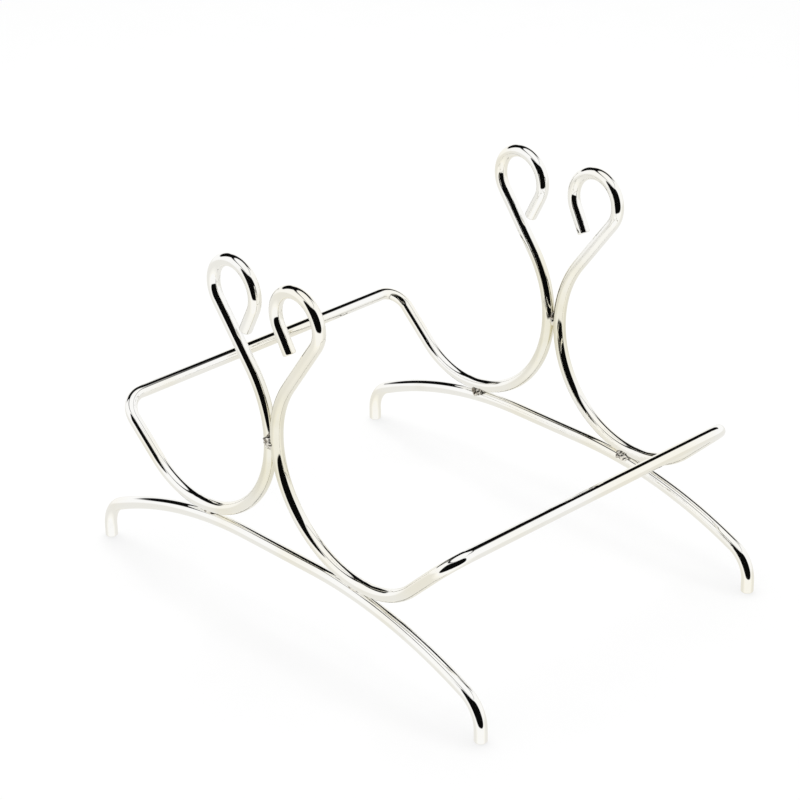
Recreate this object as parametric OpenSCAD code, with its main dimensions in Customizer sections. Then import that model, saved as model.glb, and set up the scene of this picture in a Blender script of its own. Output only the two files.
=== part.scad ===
// Photo album stand: four bent round wires and six spot welds.
// X runs along the crossbars, Y from the front wire to the rear wire, Z up.
// The origin is on the table, midway between the four feet.

/* [Wire] */
// Diameter of the wire
wire_d = 5; // [3:0.5:8]
// Chamfer on every cut end
end_chamfer = 0.4; // [0.1:0.1:0.7]

/* [Overall] */
// Distance between the two side frames, centre to centre
frame_gap = 145; // [90:1:260]
// Distance between the feet of one leg, centre to centre
leg_span = 208; // [170:1:300]
// Height of the middle of a leg above the table, at the wire's centre
leg_h = 34.5; // [30:0.5:60]

/* [Leg] */
// Length of the straight stretch at the middle of a leg
leg_flat = 37; // [10:1:60]
// Radius of the bend above each foot, at the wire's centre
foot_bend_r = 13.5; // [8:0.5:16]
// Length of the straight stretch between a leg's arc and its foot bend
shin_len = 2; // [0.5:0.5:6]
// Length of the straight stretch that ends in each foot
foot_len = 5; // [2:0.5:8]

/* [Cradle] */
// Radius of the cradle from its bottom up to the waist
cradle_r = 43; // [30:1:60]
// Length of the straight stretch at the bottom of the cradle
cradle_flat = 1; // [0.5:0.5:30]
// Radius of the cradle from its bottom out to the lip
lip_r = 35; // [20:1:50]
// Angle of the lip above level
lip_angle = 43; // [25:1:65]
// Length of the lip from the end of its curve to the crossbar's centre
lip_len = 27; // [18:1:45]
// Radius of the bend from the lip into the crossbar
corner_r = 9; // [6:0.5:13]

/* [Stem and loop] */
// Angle of the stem away from upright
stem_angle = 37; // [20:1:45]
// Length of the straight stretch of the stem
stem_len = 27; // [15:1:50]
// Radius of the loop at the top
loop_r = 11.3; // [8:0.1:15]
// Angle that the loop turns through
loop_turn = 245; // [200:1:250]
// Length of the straight tail that ends the loop
tail_len = 10.3; // [2:0.1:11]

/* [Lean] */
// Outward lean of the rear wire's sides
rear_lean = 0.8; // [0:0.1:3]
// Outward lean of the front wire's sides
front_lean = 2.3; // [0:0.1:3]

/* [Welds] */
// Diameter of a weld
weld_d = 3.8; // [2:0.1:4.5]
// Length of a weld along the wires
weld_len = 7; // [4:0.5:12]
// Chamfer at the ends of a weld
weld_chamfer = 0.8; // [0.2:0.1:0.9]

/* [Hidden] */
$fn = 64;
STEEL = [0.78, 0.78, 0.8];
WELD_STEEL = [0.62, 0.61, 0.6];

wire_r = wire_d / 2;
side_x = frame_gap / 2;

// Each straight runs a little way into the bends beside it, and is a hair slimmer than they are.
lap = 0.2;
straight_r = wire_r - 0.01;

// A leg is level in the middle, then follows an arc that runs smoothly into each foot bend.
leg_run = leg_span / 2 - foot_bend_r - leg_flat / 2;
leg_drop = leg_h - foot_bend_r - foot_len;
leg_arc_inset = (leg_run ^ 2 + leg_drop ^ 2 - shin_len ^ 2) / (2 * leg_drop);
leg_arc_r = leg_arc_inset + foot_bend_r;
leg_arc_turn = atan2(leg_run, leg_arc_inset - leg_drop) - atan2(shin_len, leg_arc_inset);

// The cradle's centre lies where its arc rests on the leg and touches the other wire at the waist.
cradle_y = cradle_r + wire_r;
leg_arc_z = leg_h - leg_arc_r;
seat_reach = cradle_r + leg_arc_r + wire_d;
waist_z = leg_arc_z + sqrt(seat_reach ^ 2 - (cradle_y - leg_flat / 2) ^ 2);
seat_angle = asin((cradle_y - leg_flat / 2) / seat_reach);
seat_y = leg_flat / 2 + (leg_arc_r + wire_r) * sin(seat_angle);
seat_z = leg_arc_z + (leg_arc_r + wire_r) * cos(seat_angle);

// Heights above the seat, measured in the plane of a side frame
waist_rise = waist_z - seat_z;
bottom_rise = waist_rise - cradle_r;
corner_rise = bottom_rise + lip_r * (1 - cos(lip_angle)) + lip_len * sin(lip_angle);
corner_y = cradle_y + cradle_flat + lip_r * sin(lip_angle) + lip_len * cos(lip_angle);

// The corner turns a little more than square where the side frame leans outward.
function corner_turn(lean) = 90 + asin(sin(lip_angle) * sin(lean));
function corner_roll(lean) = -90 - atan(cos(lip_angle) * tan(lean));
function corner_setback(lean) = corner_r * tan(corner_turn(lean) / 2);
function bar_half(lean) = side_x + corner_rise * sin(lean) - corner_setback(lean);

// A wire is drawn from its start at the origin, heading up +Z; children carry on from its end.
module straight(length) {
    translate([0, 0, -lap]) cylinder(r = straight_r, h = length + 2 * lap);
    translate([0, 0, length]) children();
}

module bend(radius, turn, roll = 0) {
    rotate([0, 0, roll]) {
        translate([radius, 0, 0])
            rotate([90, 0, 0])
                rotate([0, 0, 180 - turn])
                    rotate_extrude(angle = turn)
                        translate([radius, 0]) rotate(180) circle(r = wire_r);
        translate([radius * (1 - cos(turn)), 0, radius * sin(turn)])
            rotate([0, turn, 0]) children();
    }
}

module cut_end(length) {
    translate([0, 0, -lap]) chamfered_rod(straight_r, length + lap, 0, end_chamfer);
}

// Round bar from z = 0 to z = length, chamfered at either end
module chamfered_rod(radius, length, low_chamfer, high_chamfer) {
    rotate_extrude()
        polygon([
            [0, 0], [radius - low_chamfer, 0], [radius, low_chamfer],
            [radius, length - high_chamfer], [radius - high_chamfer, length], [0, length]
        ]);
}

// Places children in the plane of the right side frame: X outward from the waist, Z up.
module side_plane(lean) {
    translate([side_x, 0, seat_z]) rotate([0, lean, 0]) rotate([0, 0, 90]) children();
}

// From the bottom of the cradle up past the waist to the end of the loop
module cradle_and_loop() {
    rotate([0, -90, 0])
        bend(cradle_r, 90 + stem_angle)
            straight(stem_len)
                bend(loop_r, loop_turn, 180)
                    cut_end(tail_len);
}

// From the bottom of the cradle out to the crossbar
module lip_and_corner(lean) {
    rotate([0, 90, 0])
        straight(cradle_flat)
            bend(lip_r, lip_angle, 180)
                straight(lip_len - corner_setback(lean))
                    bend(corner_r, corner_turn(lean), corner_roll(lean));
}

module cradle_wire(lean) {
    for (side = [0, 1])
        mirror([side, 0, 0])
            side_plane(lean)
                translate([cradle_y, 0, bottom_rise]) {
                    cradle_and_loop();
                    lip_and_corner(lean);
                }
    translate([-bar_half(lean), corner_y, seat_z + corner_rise * cos(lean)])
        rotate([0, 90, 0]) straight(2 * bar_half(lean));
}

module leg_half() {
    translate([0, leg_flat / 2, leg_h])
        rotate([0, 0, -90]) rotate([0, -90, 0])
            bend(leg_arc_r, leg_arc_turn, 180)
                straight(shin_len)
                    bend(foot_bend_r, 90 - leg_arc_turn)
                        cut_end(foot_len);
}

module leg_wire() {
    translate([side_x, 0, 0]) {
        for (end = [0, 1]) mirror([0, end, 0]) leg_half();
        translate([0, leg_flat / 2, leg_h]) rotate([90, 0, 0]) straight(leg_flat);
    }
}

// A weld lies along its own Z, centred on the origin.
module weld() {
    translate([0, 0, -weld_len / 2]) chamfered_rod(weld_d / 2, weld_len, weld_chamfer, weld_chamfer);
}

module right_waist() {
    lean = (rear_lean + front_lean) / 2;
    translate([side_x, 0, seat_z]) rotate([0, lean, 0]) translate([0, 0, waist_rise]) weld();
}

module right_rear_seat() {
    translate([side_x, seat_y, seat_z]) rotate([-90 - seat_angle, 0, 0]) weld();
}

module all_welds() {
    for (side = [0, 1])
        mirror([side, 0, 0]) {
            right_waist();
            for (end = [0, 1]) mirror([0, end, 0]) right_rear_seat();
        }
}

module rear_cradle_wire() {
    color(STEEL) difference() {
        cradle_wire(rear_lean);
        all_welds();
    }
}

module front_cradle_wire() {
    color(STEEL) difference() {
        mirror([0, 1, 0]) cradle_wire(front_lean);
        all_welds();
    }
}

module right_leg_wire() {
    color(STEEL) difference() {
        leg_wire();
        all_welds();
    }
}

module left_leg_wire() {
    mirror([1, 0, 0]) right_leg_wire();
}

module right_waist_weld() {
    color(WELD_STEEL) right_waist();
}

module left_waist_weld() {
    mirror([1, 0, 0]) right_waist_weld();
}

module rear_right_leg_weld() {
    color(WELD_STEEL) right_rear_seat();
}

module rear_left_leg_weld() {
    mirror([1, 0, 0]) rear_right_leg_weld();
}

module front_right_leg_weld() {
    mirror([0, 1, 0]) rear_right_leg_weld();
}

module front_left_leg_weld() {
    mirror([1, 0, 0]) front_right_leg_weld();
}

rear_cradle_wire();
front_cradle_wire();
left_leg_wire();
right_leg_wire();
left_waist_weld();
right_waist_weld();
rear_left_leg_weld();
rear_right_leg_weld();
front_left_leg_weld();
front_right_leg_weld();
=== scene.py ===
"""Photo album stand: polished bent wire, welded, on a pale table under soft studio light."""
import math

import bmesh
import bpy
from mathutils import Matrix, Vector, noise


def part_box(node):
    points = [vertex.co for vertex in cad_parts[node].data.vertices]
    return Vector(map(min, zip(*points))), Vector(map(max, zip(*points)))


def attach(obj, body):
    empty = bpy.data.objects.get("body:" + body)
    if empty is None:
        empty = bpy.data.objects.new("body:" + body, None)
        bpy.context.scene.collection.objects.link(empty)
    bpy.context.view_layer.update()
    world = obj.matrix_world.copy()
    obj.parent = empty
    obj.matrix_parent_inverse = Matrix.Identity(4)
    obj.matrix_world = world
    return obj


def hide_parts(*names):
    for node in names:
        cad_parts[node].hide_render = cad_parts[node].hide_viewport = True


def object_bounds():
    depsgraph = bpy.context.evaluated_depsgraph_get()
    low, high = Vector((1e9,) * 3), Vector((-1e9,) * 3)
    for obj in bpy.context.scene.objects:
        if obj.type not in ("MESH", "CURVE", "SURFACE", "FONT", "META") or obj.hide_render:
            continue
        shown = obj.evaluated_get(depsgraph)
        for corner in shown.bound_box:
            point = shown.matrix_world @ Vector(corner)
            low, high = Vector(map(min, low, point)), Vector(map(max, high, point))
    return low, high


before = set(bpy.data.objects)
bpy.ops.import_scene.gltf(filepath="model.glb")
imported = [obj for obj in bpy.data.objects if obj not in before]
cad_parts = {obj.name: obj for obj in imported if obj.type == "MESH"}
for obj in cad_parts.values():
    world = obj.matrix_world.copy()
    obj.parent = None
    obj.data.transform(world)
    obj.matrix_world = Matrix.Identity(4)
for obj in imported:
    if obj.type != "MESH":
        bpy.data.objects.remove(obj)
cad_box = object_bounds()

MM = 0.001
UP = Vector((0, 0, 1))

# Sizes read from the frame
leg_low, leg_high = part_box("right_leg_wire")
WIRE_R = (leg_high.x - leg_low.x) / 2
SIDE_X = (leg_high.x + leg_low.x) / 2
LEG_H = leg_high.z - WIRE_R
LEG_REACH = leg_high.y - WIRE_R

# Shape of the wires, in metres and radians
LEG_FLAT = 37 * MM
FOOT_BEND_R = 13.5 * MM
SHIN_LEN = 2 * MM
FOOT_LEN = 5 * MM
CRADLE_R = 43 * MM
CRADLE_FLAT = 1 * MM
LIP_R = 35 * MM
LIP_ANGLE = math.radians(43)
LIP_LEN = 27 * MM
CORNER_R = 9 * MM
STEM_ANGLE = math.radians(37)
STEM_LEN = 27 * MM
LOOP_R = 11.3 * MM
LOOP_TURN = math.radians(245)
TAIL_LEN = 10.3 * MM
REAR_LEAN = math.radians(0.8)
FRONT_LEAN = math.radians(2.3)
END_CHAMFER = 0.4 * MM

# The leg's arc runs smoothly into its foot bend, and the cradle rests on the leg.
leg_run = LEG_REACH - FOOT_BEND_R - LEG_FLAT / 2
leg_drop = LEG_H - FOOT_BEND_R - FOOT_LEN
leg_inset = (leg_run ** 2 + leg_drop ** 2 - SHIN_LEN ** 2) / (2 * leg_drop)
LEG_ARC_R = leg_inset + FOOT_BEND_R
LEG_ARC_TURN = math.atan2(leg_run, leg_inset - leg_drop) - math.atan2(SHIN_LEN, leg_inset)
CRADLE_Y = CRADLE_R + WIRE_R
seat_reach = CRADLE_R + LEG_ARC_R + 2 * WIRE_R
SEAT_ANGLE = math.asin((CRADLE_Y - LEG_FLAT / 2) / seat_reach)
SEAT_Z = LEG_H - LEG_ARC_R + (LEG_ARC_R + WIRE_R) * math.cos(SEAT_ANGLE)
WAIST_RISE = LEG_H - LEG_ARC_R + seat_reach * math.cos(SEAT_ANGLE) - SEAT_Z

# Fineness of the wire meshes
STEP = 0.8 * MM
BEND_STEPS = 6
SIDES = 56
OVAL = 0.12  # how much a bend flattens, as a share of wire radius over bend radius
TIP_ROWS = ((0.0, 0.0), (0.175, 0.35), (0.55, 0.72), (1.0, 1.0))  # shares of the chamfer: inward, along

# Weld beads: how far out from the contact, half width, half depth, lumpiness and seed of each
BEADS = {
    "left_waist_weld": (1.0 * MM, 2.3 * MM, 3.0 * MM, 1.3, 4.7),
    "right_waist_weld": (0.0, 1.9 * MM, 1.5 * MM, 0.5, 9.1),
    "rear_left_leg_weld": (0.0, 1.6 * MM, 1.4 * MM, 0.3, 12.4),
    "front_left_leg_weld": (0.0, 1.6 * MM, 1.4 * MM, 0.3, 15.8),
    "rear_right_leg_weld": (-0.8 * MM, 2.1 * MM, 2.0 * MM, 1.1, 21.3),
    "front_right_leg_weld": (-0.9 * MM, 2.3 * MM, 2.3 * MM, 1.5, 26.9),
}
BEAD_LENGTH = 6.4 * MM
BEAD_ROWS, BEAD_SIDES = 28, 40
BEAD_ROUNDNESS = 2.4
BEAD_STRETCH = 2.6  # how far the lumps' pattern runs along a bead
BIG_LUMPS, SMALL_LUMPS = (0.42, 1.5), (0.2, 4.0)  # height and frequency

# Metals and table
WHITE = (1, 1, 1, 1)
BRIGHT_PLATING = (0.93, 0.925, 0.905, 1)
# painted reflection: warm patches in the plating's colour stand in for the warm table and tent mirrored in
# it
PAINTED_WARM_REFLECTION = (0.91, 0.885, 0.80, 1)
SMUDGED_PLATING = (0.80, 0.785, 0.73, 1)
# partly weld heat tint, partly painted reflection: warm darkening near the waist that stands in for the
# shaded table mirrored there
HEAT_AND_REFLECTED_SHADE_TINT = (0.80, 0.77, 0.64, 1)
WAIST_TINT_NEAR, WAIST_TINT_FAR = 8 * MM, 42 * MM
BEAD_PLATING = (0.84, 0.81, 0.74, 1)
BEAD_STAIN = (0.24, 0.21, 0.17, 1)
TABLE_LIGHT, TABLE_DARK = (0.274, 0.274, 0.274, 1), (0.27, 0.27, 0.27, 1)
TABLE_GLOW = 0.68
TABLE_HALF = 3.0

# The studio that the metal mirrors, as directions: a white tent over a pale table, the dark room beyond its
# open front, a dark ring around the softbox overhead, and two dark curtains behind the table
ROOM_AZIMUTH, ROOM_HEIGHT = math.radians(-134), math.radians(12)
ROOM_HALF_WIDTH, ROOM_HALF_HEIGHT = math.radians(55), math.radians(35)
ROOM_SQUARENESS = 4.0
SOFTBOX_AZIMUTH, SOFTBOX_HEIGHT = math.radians(-100), math.radians(84)
SOFTBOX_HALF_WIDTH = math.radians(34)
RING_LOW = math.radians(50)
CURTAINS = (  # azimuth, half width and lower edge
    (math.radians(49), math.radians(57), math.radians(27)),
    (math.radians(82), math.radians(27), math.radians(14)),
)
SOFT = 0.04
TENT_WHITE, DARK = 1.03, 0.003
TABLE_FAR, TABLE_NEAR = 0.88, 1.03
TABLE_NEARNESS = (0.0, 0.5)
TABLE_EDGE = (-0.25, -0.05)
TABLE_CAST = (1.0, 0.99, 0.95, 1)
WORLD_FILL = 0.75

# Lamp and camera
LAMP_PLACE, LAMP_SIZE, LAMP_POWER = Vector((0.1, 0.2, 1.2)), 1.0, 9.0
CAMERA_AIM = Vector((6.35, 18.07, -12.05)) * MM  # from the middle of the stand's box
CAMERA_AZIMUTH, CAMERA_ELEVATION, CAMERA_ROLL = (math.radians(a) for a in (-43.305, 26.647, -0.909))
CAMERA_DISTANCE = 1.0334
CAMERA_LENS, CAMERA_SENSOR = 120.0, 36.0


class Pen:
    """Draws a wire's centre line from straights and bends, noting how sharply it bends and which way."""

    def __init__(self, point, heading):
        self.point = Vector(point)
        self.heading = Vector(heading).normalized()
        self.points = [self.point.copy()]
        self.headings = [self.heading.copy()]
        self.curls = [Vector((0, 0, 0))]

    def note(self, curl):
        self.points.append(self.point.copy())
        self.headings.append(self.heading.copy())
        self.curls.append(curl)

    def straight(self, length):
        start = self.point.copy()
        count = max(1, math.ceil(length / STEP))
        for i in range(1, count + 1):
            self.point = start + self.heading * (length * i / count)
            self.note(Vector((0, 0, 0)))

    def bend(self, radius, turn, toward):
        inward = Vector(toward)
        inward = (inward - self.heading * inward.dot(self.heading)).normalized()
        centre = self.point + inward * radius
        start = self.heading.copy()
        count = max(BEND_STEPS, math.ceil(radius * turn / STEP))
        for i in range(1, count + 1):
            a = turn * i / count
            self.point = centre + radius * (math.sin(a) * start - math.cos(a) * inward)
            self.heading = math.cos(a) * start + math.sin(a) * inward
            self.note((centre - self.point) / radius ** 2)


def join(first, second):
    """One line: back along the first pen, then on along the second, which starts where the first did."""
    points = first.points[::-1] + second.points[1:]
    headings = [-h for h in first.headings[::-1]] + second.headings[1:]
    curls = first.curls[::-1] + second.curls[1:]
    return points, headings, curls


def side_chains(side, end, lean):
    """From the bottom of a cradle: out to the middle of the crossbar, and in to the end of the loop."""
    away = Vector((0, end, 0))
    rise = Vector((side * math.sin(lean), 0, math.cos(lean)))
    bottom = Vector((side * SIDE_X, 0, SEAT_Z)) + away * CRADLE_Y + rise * (WAIST_RISE - CRADLE_R)
    out = Pen(bottom, away)
    out.straight(CRADLE_FLAT)
    out.bend(LIP_R, LIP_ANGLE, rise)
    turn = math.pi / 2 + math.asin(math.sin(LIP_ANGLE) * math.sin(lean))
    out.straight(LIP_LEN - CORNER_R * math.tan(turn / 2))
    out.bend(CORNER_R, turn, Vector((-side, 0, 0)))
    out.straight(abs(out.point.x))
    inner = Pen(bottom, -away)
    inner.bend(CRADLE_R, math.pi / 2 + STEM_ANGLE, rise)
    inner.straight(STEM_LEN)
    inner.bend(LOOP_R, LOOP_TURN, -away)
    inner.straight(TAIL_LEN)
    return out, inner


def cradle_line(end, lean):
    """The whole cradle wire, from the end of its left loop to the end of its right one."""
    halves = []
    for side in (-1, 1):
        out, inner = side_chains(side, end, lean)
        halves.append(join(inner, out))
    left, right = halves
    points = left[0] + right[0][::-1][1:]
    headings = left[1] + [-h for h in right[1][::-1]][1:]
    curls = left[2] + right[2][::-1][1:]
    return points, headings, curls


def leg_line(side):
    """The whole leg wire, from foot to foot."""
    pens = []
    for end in (-1, 1):
        pen = Pen((side * SIDE_X, 0, LEG_H), (0, end, 0))
        pen.straight(LEG_FLAT / 2)
        pen.bend(LEG_ARC_R, LEG_ARC_TURN, -UP)
        pen.straight(SHIN_LEN)
        pen.bend(FOOT_BEND_R, math.pi / 2 - LEG_ARC_TURN, -UP)
        pen.straight(FOOT_LEN)
        pens.append(pen)
    return join(pens[0], pens[1])


def mesh_object(name, verts, faces, along=None, around=None):
    """A smooth-shaded mesh in the scene, with a wire's own coordinates where it has them."""
    mesh = bpy.data.meshes.new(name)
    mesh.from_pydata(verts, [], faces)
    for label, values in (("along", along), ("around", around)):
        if values:
            layer = mesh.attributes.new(label, "FLOAT", "POINT")
            layer.data.foreach_set("value", values)
    mesh.polygons.foreach_set("use_smooth", [True] * len(mesh.polygons))
    mesh.update()
    obj = bpy.data.objects.new(name, mesh)
    bpy.context.scene.collection.objects.link(obj)
    return obj


def tip(ring, sign):
    """The rings of a chamfered cut end, from the full wire to the face."""
    point, heading, curl, radius = ring
    rows = []
    for inward, forward in TIP_ROWS:
        centre = point + heading * sign * END_CHAMFER * (forward - 1)
        rows.append((centre, heading, curl, radius - END_CHAMFER * inward))
    return rows


def tube_faces(rows, sides):
    """Quads that join each ring of points to the next."""
    faces = []
    for r in range(rows - 1):
        for k in range(sides):
            n = (k + 1) % sides
            faces.append((r * sides + k, r * sides + n, (r + 1) * sides + n, (r + 1) * sides + k))
    return faces


def wire_rings(line):
    """Centre, heading, curl and radius of each ring along a wire."""
    rings = [(point, heading, curl, WIRE_R) for point, heading, curl in zip(*line)]
    first, last = rings[0], rings[-1]
    clear = END_CHAMFER * 1.2
    core = [r for r in rings if (r[0] - first[0]).length > clear and (r[0] - last[0]).length > clear]
    return tip(first, -1)[::-1] + core + tip(last, 1)


def wire(name, line):
    """A tube along the line, slightly oval in its bends, with chamfered cut ends."""
    rings = wire_rings(line)
    verts, along, around = [], [], []
    side = rings[0][1].orthogonal().normalized()
    travelled = 0.0
    previous = rings[0][0]
    for point, heading, curl, radius in rings:
        travelled += (point - previous).length
        previous = point
        side = (side - heading * side.dot(heading)).normalized()
        other = heading.cross(side)
        inward = curl.normalized() if curl.length else side
        squash = OVAL * WIRE_R * curl.length
        for k in range(SIDES):
            a = math.tau * k / SIDES
            spoke = (side * math.cos(a) + other * math.sin(a)) * radius
            spoke -= inward * spoke.dot(inward) * squash
            verts.append(point + spoke)
            along.append(travelled)
            around.append(a)
    faces = tube_faces(len(rings), SIDES)
    for row, flip in ((0, True), (len(rings) - 1, False)):
        centre = len(verts)
        verts.append(rings[row][0])
        along.append(along[row * SIDES])
        around.append(0.0)
        for k in range(SIDES):
            face = (row * SIDES + k, row * SIDES + (k + 1) % SIDES, centre)
            faces.append(face[::-1] if flip else face)
    return mesh_object(name, verts, faces, along, around)


def weld_bead(name, centre, axis, width, depth, lumpy, seed):
    """An uneven fused bead in the groove between two wires."""
    wide = Vector((1, 0, 0))
    deep = axis.cross(wide)
    verts = []
    for i in range(BEAD_ROWS + 1):
        t = -1 + 2 * i / BEAD_ROWS
        swell = math.sqrt(max(0.0, 1 - abs(t) ** BEAD_ROUNDNESS))
        for k in range(BEAD_SIDES):
            a = math.tau * k / BEAD_SIDES
            spot = Vector((math.cos(a), math.sin(a), t * BEAD_STRETCH))
            lump = 1 + BIG_LUMPS[0] * lumpy * noise.noise(spot * BIG_LUMPS[1] + Vector((seed, 0, 0)))
            lump += SMALL_LUMPS[0] * lumpy * noise.noise(spot * SMALL_LUMPS[1] + Vector((0, seed, 0)))
            x = math.cos(a) * width * swell * lump
            y = math.sin(a) * depth * swell * lump
            verts.append(centre + axis * (t * BEAD_LENGTH / 2) + wide * x + deep * y)
    bead = mesh_object(name, verts, tube_faces(BEAD_ROWS + 1, BEAD_SIDES))
    bm = bmesh.new()
    bm.from_mesh(bead.data)
    bmesh.ops.remove_doubles(bm, verts=bm.verts, dist=1e-6)
    bmesh.ops.recalc_face_normals(bm, faces=bm.faces)
    bm.to_mesh(bead.data)
    bm.free()
    return bead


class Nodes:
    """Short calls for building a node tree."""

    def __init__(self, tree):
        self.tree = tree
        tree.nodes.clear()

    def add(self, kind, **settings):
        node = self.tree.nodes.new("ShaderNode" + kind)
        for key, value in settings.items():
            setattr(node, key, value)
        return node

    def link(self, out, into):
        self.tree.links.new(out, into)

    def feed(self, socket, value):
        if isinstance(value, (int, float)):
            socket.default_value = value
        else:
            self.link(value, socket)

    def math(self, operation, a, b=0.0):
        node = self.add("Math", operation=operation)
        for socket, value in zip(node.inputs, (a, b)):
            self.feed(socket, value)
        return node.outputs[0]

    def ramp(self, value, low, high, out_low=0.0, out_high=1.0):
        """A smooth step of value, from out_low at low to out_high at high."""
        node = self.add("MapRange", interpolation_type="SMOOTHSTEP")
        self.feed(node.inputs["Value"], value)
        node.inputs["From Min"].default_value = low
        node.inputs["From Max"].default_value = high
        node.inputs["To Min"].default_value = out_low
        node.inputs["To Max"].default_value = out_high
        return node.outputs["Result"]

    def mix(self, factor, a, b):
        node = self.add("Mix", data_type="RGBA")
        self.feed(node.inputs["Factor"], factor)
        for socket, value in ((node.inputs[6], a), (node.inputs[7], b)):
            if isinstance(value, tuple):
                socket.default_value = value
            else:
                self.link(value, socket)
        return node.outputs[2]

    def noise(self, vector, scale, detail=3.0, rough=0.5):
        node = self.add("TexNoise")
        self.link(vector, node.inputs["Vector"])
        node.inputs["Scale"].default_value = scale
        node.inputs["Detail"].default_value = detail
        node.inputs["Roughness"].default_value = rough
        return node.outputs["Fac"]

    def attribute(self, name):
        return self.add("Attribute", attribute_name=name).outputs["Fac"]

    def bump(self, height, strength, distance, normal=None):
        node = self.add("Bump")
        node.inputs["Strength"].default_value = strength
        node.inputs["Distance"].default_value = distance
        self.link(height, node.inputs["Height"])
        if normal is not None:
            self.link(normal, node.inputs["Normal"])
        return node.outputs["Normal"]


def new_material(name):
    material = bpy.data.materials.new(name)
    material.use_nodes = True
    return material, Nodes(material.node_tree)


def near_waist(n, place):
    """1 beside the waist welds, fading to 0 along the wires, where welding has stained the plating and where
    the plating carries a painted reflection of the shaded table between the legs.
    """
    split = n.add("SeparateXYZ")
    n.link(place, split.inputs[0])
    rise = n.math("SUBTRACT", split.outputs[2], SEAT_Z + WAIST_RISE)
    squares = n.math("ADD", n.math("POWER", split.outputs[1], 2.0), n.math("POWER", rise, 2.0))
    reach = n.math("SQRT", squares)
    return n.ramp(reach, WAIST_TINT_NEAR, WAIST_TINT_FAR, 1.0, 0.0)


def metal(n, colour, roughness, normal):
    """Fills in a metal shader and its output."""
    shader = n.add("BsdfPrincipled")
    shader.inputs["Metallic"].default_value = 1.0
    n.link(colour, shader.inputs["Base Color"])
    n.link(roughness, shader.inputs["Roughness"])
    n.link(normal, shader.inputs["Normal"])
    n.link(shader.outputs[0], n.add("OutputMaterial").inputs["Surface"])


def along_wire(n, radius=2.5, pitch=22.0):
    """Coordinates that run along the wire and wrap around it, without a seam."""
    along, around = n.attribute("along"), n.attribute("around")
    wrap = n.add("CombineXYZ")
    n.link(n.math("MULTIPLY", n.math("COSINE", around), radius), wrap.inputs[0])
    n.link(n.math("MULTIPLY", n.math("SINE", around), radius), wrap.inputs[1])
    n.link(n.math("MULTIPLY", along, pitch), wrap.inputs[2])
    return wrap.outputs[0]


def plated_wire_material():
    """Bright plating: drawing lines along the wire, slow waves, smudges, warm patches that are a painted
    reflection of the warm surroundings, and near the waist a weld heat tint together with a painted
    reflection of the shaded table.
    """
    material, n = new_material("plated_wire")
    place = n.add("TexCoord").outputs["Object"]
    drawn = n.noise(along_wire(n), scale=9.0, detail=4.0, rough=0.6)
    waves = n.noise(place, scale=85.0, detail=1.0)
    grain = n.noise(place, scale=2600.0, detail=2.0)
    smudge = n.noise(place, scale=48.0, detail=4.0, rough=0.62)
    # where the painted warm reflection goes, in patches at random
    cast = n.noise(place, scale=26.0, detail=2.0)

    tint = n.mix(n.ramp(cast, 0.42, 0.66), BRIGHT_PLATING, PAINTED_WARM_REFLECTION)
    tint = n.mix(n.ramp(smudge, 0.55, 0.8, 0.0, 0.3), tint, SMUDGED_PLATING)
    # near the waist: weld heat tint plus a painted reflection of the shaded table
    heat = n.math("MULTIPLY", near_waist(n, place), n.ramp(smudge, 0.3, 0.65, 0.55, 1.0))
    tint = n.mix(heat, tint, HEAT_AND_REFLECTED_SHADE_TINT)
    rough = n.math("ADD", n.ramp(smudge, 0.5, 0.85, 0.03, 0.1), n.ramp(grain, 0.4, 0.8, 0.0, 0.02))
    normal = n.bump(waves, strength=0.3, distance=0.06 * MM)
    normal = n.bump(drawn, strength=0.03, distance=0.01 * MM, normal=normal)
    metal(n, tint, rough, normal)
    return material


def plated_weld_material():
    """The bead under the plating: duller, pitted, with a brown-grey heat tint."""
    material, n = new_material("plated_weld")
    place = n.add("TexCoord").outputs["Object"]
    pits = n.noise(place, scale=900.0, detail=2.0)
    lumps = n.noise(place, scale=300.0, detail=1.0)
    stain = n.noise(place, scale=260.0, detail=3.0)
    tint = n.mix(n.ramp(stain, 0.45, 0.62), BEAD_PLATING, BEAD_STAIN)
    rough = n.ramp(pits, 0.3, 0.8, 0.08, 0.3)
    normal = n.bump(lumps, strength=0.8, distance=0.8 * MM)
    normal = n.bump(pits, strength=0.2, distance=0.06 * MM, normal=normal)
    metal(n, tint, rough, normal)
    return material


def floor_material():
    """White table: the camera sees a nearly even white, darkened only by the shadow."""
    material, n = new_material("white_table")
    mottled = n.noise(n.add("TexCoord").outputs["Object"], scale=35.0, detail=3.0)
    diffuse = n.add("BsdfDiffuse")
    n.link(n.mix(n.ramp(mottled, 0.3, 0.7), TABLE_DARK, TABLE_LIGHT), diffuse.inputs["Color"])
    glow = n.add("Emission")
    glow.inputs["Color"].default_value = WHITE
    seen = n.add("LightPath").outputs["Is Camera Ray"]
    n.link(n.math("MULTIPLY", seen, TABLE_GLOW), glow.inputs["Strength"])
    total = n.add("AddShader")
    n.link(diffuse.outputs[0], total.inputs[0])
    n.link(glow.outputs[0], total.inputs[1])
    n.link(total.outputs[0], n.add("OutputMaterial").inputs["Surface"])
    return material


def over(n, value, edge):
    """1 above the edge and 0 below it, with a soft step between."""
    return n.ramp(value, edge - SOFT, edge + SOFT)


def under(n, value, edge):
    """1 below the edge and 0 above it, with a soft step between."""
    return n.ramp(value, edge - SOFT, edge + SOFT, 1.0, 0.0)


def toward(n, x, y, azimuth):
    """How far a direction points along an azimuth, and how far to its left."""
    cos, sin = math.cos(azimuth), math.sin(azimuth)
    ahead = n.math("ADD", n.math("MULTIPLY", x, cos), n.math("MULTIPLY", y, sin))
    aside = n.math("SUBTRACT", n.math("MULTIPLY", y, cos), n.math("MULTIPLY", x, sin))
    return ahead, aside


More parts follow.
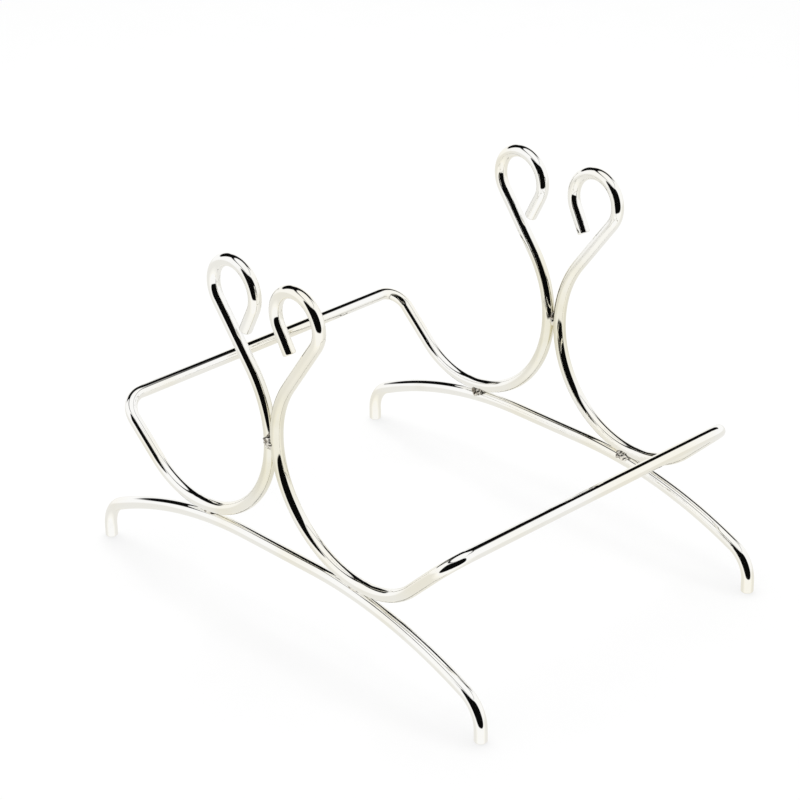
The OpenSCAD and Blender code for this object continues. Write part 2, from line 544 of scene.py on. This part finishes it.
def room_mask(n, height, ahead, aside):
    """The tent's open front, a rectangle with rounded corners."""
    across = n.math("DIVIDE", n.math("ARCTAN2", aside, ahead), ROOM_HALF_WIDTH)
    up = n.math("DIVIDE", n.math("SUBTRACT", height, ROOM_HEIGHT), ROOM_HALF_HEIGHT)
    across = n.math("POWER", n.math("ABSOLUTE", across), ROOM_SQUARENESS)
    up = n.math("POWER", n.math("ABSOLUTE", up), ROOM_SQUARENESS)
    soft = SOFT * ROOM_SQUARENESS
    return n.ramp(n.math("ADD", across, up), 1 - soft, 1 + soft, 1.0, 0.0)


def ring_mask(n, x, y, height):
    """The dark ring high up, and the curtains that hang from it."""
    ring = over(n, height, RING_LOW)
    for azimuth, half_width, low in CURTAINS:
        back, left = toward(n, x, y, azimuth)
        turn = n.math("ARCTAN2", left, back)
        width = n.math("MULTIPLY", over(n, turn, -half_width), under(n, turn, half_width))
        ring = n.math("MAXIMUM", ring, n.math("MULTIPLY", width, over(n, height, low)))
    return ring


def softbox_mask(n, x, y, z):
    """The round softbox, nearly overhead."""
    lean, _ = toward(n, x, y, SOFTBOX_AZIMUTH)
    facing = n.math("ADD", n.math("MULTIPLY", lean, math.cos(SOFTBOX_HEIGHT)),
                    n.math("MULTIPLY", z, math.sin(SOFTBOX_HEIGHT)))
    return under(n, n.math("ARCCOSINE", facing), SOFTBOX_HALF_WIDTH)


def studio(n):
    """Brightness and tint of the studio in each direction."""
    split = n.add("SeparateXYZ")
    n.link(n.add("TexCoord").outputs["Generated"], split.inputs[0])
    x, y, z = split.outputs
    height = n.math("ARCSINE", z)

    ahead, aside = toward(n, x, y, ROOM_AZIMUTH)
    table = n.ramp(ahead, *TABLE_NEARNESS, TABLE_FAR, TABLE_NEAR)
    below = n.ramp(height, *TABLE_EDGE, 1.0, 0.0)
    level = n.math("ADD", TENT_WHITE, n.math("MULTIPLY", below, n.math("SUBTRACT", table, TENT_WHITE)))

    room = room_mask(n, height, ahead, aside)
    unlit = n.math("MULTIPLY", ring_mask(n, x, y, height), n.math("SUBTRACT", 1.0, softbox_mask(n, x, y, z)))
    keep = n.math("SUBTRACT", 1.0, n.math("MAXIMUM", room, unlit))
    far = n.math("LESS_THAN", ahead, TABLE_NEARNESS[1])
    cast = n.mix(n.math("MULTIPLY", below, far), WHITE, TABLE_CAST)
    return n.math("ADD", n.math("MULTIPLY", level, keep), DARK), cast


def build_world():
    world = bpy.data.worlds.new("studio")
    bpy.context.scene.world = world
    world.use_nodes = True
    n = Nodes(world.node_tree)
    level, cast = studio(n)
    path = n.add("LightPath")
    # Reflections see the studio, diffuse surfaces get an even fill, and the camera sees plain white.
    sharp = n.math("MAXIMUM", path.outputs["Is Glossy Ray"], path.outputs["Is Transmission Ray"])
    fill = n.math("MULTIPLY", n.math("SUBTRACT", 1.0, sharp), WORLD_FILL)
    strength = n.math("ADD", n.math("MULTIPLY", level, sharp), fill)
    camera = path.outputs["Is Camera Ray"]
    strength = n.math("ADD", n.math("MULTIPLY", strength, n.math("SUBTRACT", 1.0, camera)), camera)
    background = n.add("Background")
    n.link(n.mix(sharp, WHITE, cast), background.inputs["Color"])
    n.link(strength, background.inputs["Strength"])
    n.link(background.outputs[0], n.add("OutputWorld").inputs["Surface"])


def build_lamp():
    """The lamp overhead, which casts the soft shadow and isn't mirrored."""
    data = bpy.data.lights.new("overhead", "AREA")
    data.shape = "DISK"
    data.size = LAMP_SIZE
    data.energy = LAMP_POWER
    lamp = bpy.data.objects.new("overhead", data)
    bpy.context.scene.collection.objects.link(lamp)
    lamp.location = LAMP_PLACE
    lamp.rotation_euler = (-LAMP_PLACE).to_track_quat("-Z", "Y").to_euler()
    lamp.visible_glossy = False


def build_camera():
    low, high = (Vector(c) for c in cad_box)
    aim = (low + high) / 2 + CAMERA_AIM
    back = Vector((math.sin(CAMERA_AZIMUTH), -math.cos(CAMERA_AZIMUTH), 0)) * math.cos(CAMERA_ELEVATION)
    back.z = math.sin(CAMERA_ELEVATION)
    data = bpy.data.cameras.new("camera")
    data.lens = CAMERA_LENS
    data.sensor_width = CAMERA_SENSOR
    camera = bpy.data.objects.new("camera", data)
    bpy.context.scene.collection.objects.link(camera)
    turn = back.to_track_quat("Z", "Y").to_matrix().to_4x4() @ Matrix.Rotation(CAMERA_ROLL, 4, "Z")
    camera.matrix_world = Matrix.Translation(aim + back * CAMERA_DISTANCE) @ turn
    bpy.context.scene.camera = camera


def build_floor():
    """The table. Reflections see the studio's own table, not this one."""
    corners = ((-1, -1), (1, -1), (1, 1), (-1, 1))
    verts = [(x * TABLE_HALF, y * TABLE_HALF, 0) for x, y in corners]
    floor = mesh_object("white_table", verts, [(0, 1, 2, 3)])
    floor.data.materials.append(floor_material())
    floor.visible_glossy = False


def dress(piece, material, node):
    """Gives a piece its material and puts it in the place of its CAD node."""
    piece.data.materials.append(material)
    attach(piece, "root")
    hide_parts(node)


def bead_axis(node):
    """The way that the two wires of a weld run where they touch."""
    slope = {"rear": 1, "front": -1}.get(node.split("_")[0])
    return Vector((0, slope * math.cos(SEAT_ANGLE), -math.sin(SEAT_ANGLE))) if slope else UP


def build_stand():
    plating, bead_plating = plated_wire_material(), plated_weld_material()
    lines = {
        "rear_cradle_wire": cradle_line(1, REAR_LEAN),
        "front_cradle_wire": cradle_line(-1, FRONT_LEAN),
        "left_leg_wire": leg_line(-1),
        "right_leg_wire": leg_line(1),
    }
    for node, line in lines.items():
        dress(wire(node + "_plated", line), plating, node)
    for node, (out, *shape) in BEADS.items():
        low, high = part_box(node)
        centre = (low + high) / 2
        centre.x += math.copysign(1, centre.x) * out
        dress(weld_bead(node + "_bead", centre, bead_axis(node), *shape), bead_plating, node)


build_camera()
build_world()
build_floor()
build_stand()
build_lamp()
bpy.context.scene.view_settings.view_transform = "Standard"
